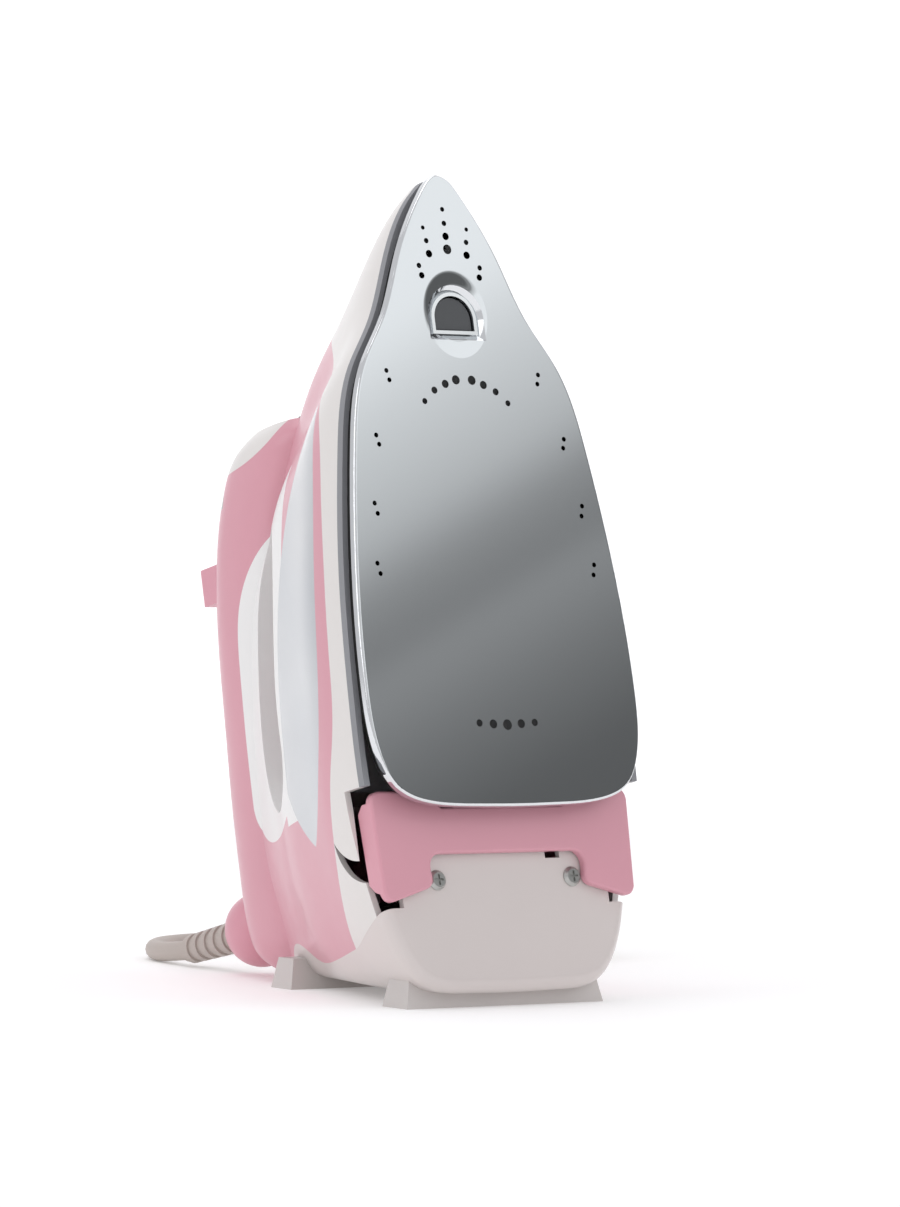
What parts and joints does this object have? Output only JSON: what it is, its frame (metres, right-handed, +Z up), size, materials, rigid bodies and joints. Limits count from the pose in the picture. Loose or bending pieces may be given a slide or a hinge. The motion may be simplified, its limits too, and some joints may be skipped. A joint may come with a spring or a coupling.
{
  "type": "clothes iron",
  "caption": "Steam iron standing on its heel, with a fold-out rear bracket, a sliding front leg, water tank, dial and cord.",
  "frame": {"origin": "middle of the footprint of the iron standing on its heel, on the floor", "axes": "+Z up, along the height of the standing iron; +Y from the soleplate's face towards the handle; +X across, between the mirrored sides"},
  "size_m": [0.2344, 0.2732, 0.294],
  "materials": {
    "soleplate": "polished, steam holes",
    "heat_shield": "black, heat proof",
    "heating_element": "oxidised sheath",
    "heater_casting": "as cast",
    "steam_chamber_cover": "pressed sheet",
    "leg_guide": "bright ring",
    "front_leg": "dark grey, satin",
    "leg_rack": "natural nylon",
    "leg_pinion": "natural nylon",
    "leg_motor": "plated can",
    "rear_lifter": "satin pink",
    "lifter_shaft": "ground",
    "lifter_gear": "natural nylon",
    "lift_pinion": "machined",
    "lift_gearbox": "moulded",
    "lift_motor": "plated can",
    "lifter_bushes": "sintered",
    "lifter_frame": "moulded",
    "skirt_rim": "grey bevel",
    "lower_skirt": "moulded",
    "handle_top": "satin pink",
    "handle_liner": "moulded",
    "side_shell": "satin pink",
    "top_deck": "moulded",
    "slider_window": "smoke tint",
    "fill_door": "moulded",
    "door_pin": "ground",
    "nose": "moulded",
    "spray_nozzle": "moulded",
    "water_tank": "silver tint",
    "fill_funnel": "moulded",
    "drip_valve": "machined",
    "valve_rod": "drawn",
    "thermostat": "plated",
    "thermal_fuse": "plated",
    "dial_knob": "ribbed rim",
    "dial_shaft": "drawn",
    "steam_button": "moulded",
    "steam_pump": "moulded",
    "steam_spring": "spring wire",
    "spray_button": "moulded",
    "spray_pump": "moulded",
    "spray_spring": "spring wire",
    "steam_slider": "moulded",
    "indicator_lens": "clear amber",
    "touch_sensor": "copper foil",
    "control_board": "glass-epoxy board",
    "terminal_block": "moulded",
    "heel_cover": "moulded",
    "heel_screws": "zinc plated",
    "near_foot": "moulded",
    "far_foot": "moulded",
    "swivel_ball": "moulded",
    "cord_boot": "ribbed",
    "cord_lead": "smooth sheath",
    "cord_coil": "smooth sheath",
    "plug_body": "moulded on",
    "plug_pins": "plated"
  },
  "bodies": {
    "iron_body": {"soleplate": "soleplate", "heat_shield": "heat_shield", "heating_element": "heating_element", "heater_casting": "heater_casting", "steam_chamber_cover": "steam_chamber_cover", "leg_guide": "leg_guide", "leg_motor": "leg_motor", "lift_gearbox": "lift_gearbox", "lift_motor": "lift_motor", "lifter_bushes": "lifter_bushes", "lifter_frame": "lifter_frame", "skirt_rim": "skirt_rim", "lower_skirt": "lower_skirt", "handle_top": "handle_top", "handle_liner": "handle_liner", "side_shell": "side_shell", "top_deck": "top_deck", "slider_window": "slider_window", "door_pin": "door_pin", "nose": "nose", "spray_nozzle": "spray_nozzle", "water_tank": "water_tank", "fill_funnel": "fill_funnel", "drip_valve": "drip_valve", "valve_rod": "valve_rod", "thermostat": "thermostat", "thermal_fuse": "thermal_fuse", "steam_pump": "steam_pump", "steam_spring": "steam_spring", "spray_pump": "spray_pump", "spray_spring": "spray_spring", "indicator_lens": "indicator_lens", "touch_sensor": "touch_sensor", "control_board": "control_board", "terminal_block": "terminal_block", "heel_cover": "heel_cover", "heel_screws": "heel_screws", "near_foot": "near_foot", "far_foot": "far_foot"},
    "rear_lifter_body": {"rear_lifter": "rear_lifter", "lifter_shaft": "lifter_shaft", "lifter_gear": "lifter_gear"},
    "lift_pinion_body": {"lift_pinion": "lift_pinion"},
    "front_leg_body": {"front_leg": "front_leg", "leg_rack": "leg_rack"},
    "leg_pinion_body": {"leg_pinion": "leg_pinion"},
    "dial_body": {"dial_knob": "dial_knob", "dial_shaft": "dial_shaft"},
    "slider_body": {"steam_slider": "steam_slider"},
    "steam_button_body": {"steam_button": "steam_button"},
    "spray_button_body": {"spray_button": "spray_button"},
    "door_body": {"fill_door": "fill_door"},
    "cord_body": {"swivel_ball": "swivel_ball", "cord_boot": "cord_boot", "cord_lead": "cord_lead", "cord_coil": "cord_coil", "plug_body": "plug_body", "plug_pins": "plug_pins"}
  },
  "joints": [
    {"name": "lifter_swing", "type": "hinge", "parent": "iron_body", "child": "rear_lifter_body", "pos_m": [0, -0.0773, 0.06102], "axis": [-1, 0, 0], "range_deg": [0, 84]},
    {"name": "lift_pinion_spin", "type": "hinge", "parent": "iron_body", "child": "lift_pinion_body", "pos_m": [0, -0.06331, 0.05764], "axis": [-1, 0, 0], "range_deg": [-168, 2]},
    {"name": "front_leg_slide", "type": "slide", "parent": "iron_body", "child": "front_leg_body", "axis": [0, -0.9721, 0.2345], "range_m": [0, 0.02]},
    {"name": "leg_pinion_spin", "type": "hinge", "parent": "iron_body", "child": "leg_pinion_body", "pos_m": [0, -0.01395, 0.22987], "axis": [1, 0, 0], "range_deg": [-2, 250]},
    {"name": "dial_turn", "type": "hinge", "parent": "iron_body", "child": "dial_body", "pos_m": [0, 0.00085, 0.11211], "axis": [0, 0.9721, -0.2345], "range_deg": [-150, 150]},
    {"name": "steam_slide", "type": "slide", "parent": "iron_body", "child": "slider_body", "axis": [0, 0.2345, 0.9721], "range_m": [0, 0.006]},
    {"name": "steam_button_push", "type": "slide", "parent": "iron_body", "child": "steam_button_body", "axis": [0, -0.9721, 0.2345], "range_m": [0, 0.004], "stiffness_N_per_m": 600, "springref_m": -0.001, "deforming": ["steam_spring"]},
    {"name": "spray_button_push", "type": "slide", "parent": "iron_body", "child": "spray_button_body", "axis": [0, -0.9721, 0.2345], "range_m": [0, 0.004], "stiffness_N_per_m": 600, "springref_m": -0.001, "deforming": ["spray_spring"]},
    {"name": "fill_door_swing", "type": "hinge", "parent": "iron_body", "child": "door_body", "pos_m": [0, 0.06239, 0.19921], "axis": [-1, 0, 0], "range_deg": [0, 75]},
    {"name": "cord_swivel", "type": "hinge", "parent": "iron_body", "child": "cord_body", "pos_m": [0, 0.06655, 0.017], "axis": [0, 0, 1], "range_deg": [-15, 15]}
  ],
  "couplings": [
    {"joint": "lifter_swing", "follows": "front_leg_slide", "rad_per_m": 69.813},
    {"joint": "lift_pinion_spin", "follows": "front_leg_slide", "rad_per_m": -139.63},
    {"joint": "leg_pinion_spin", "follows": "front_leg_slide", "rad_per_m": 208.33}
  ]
}
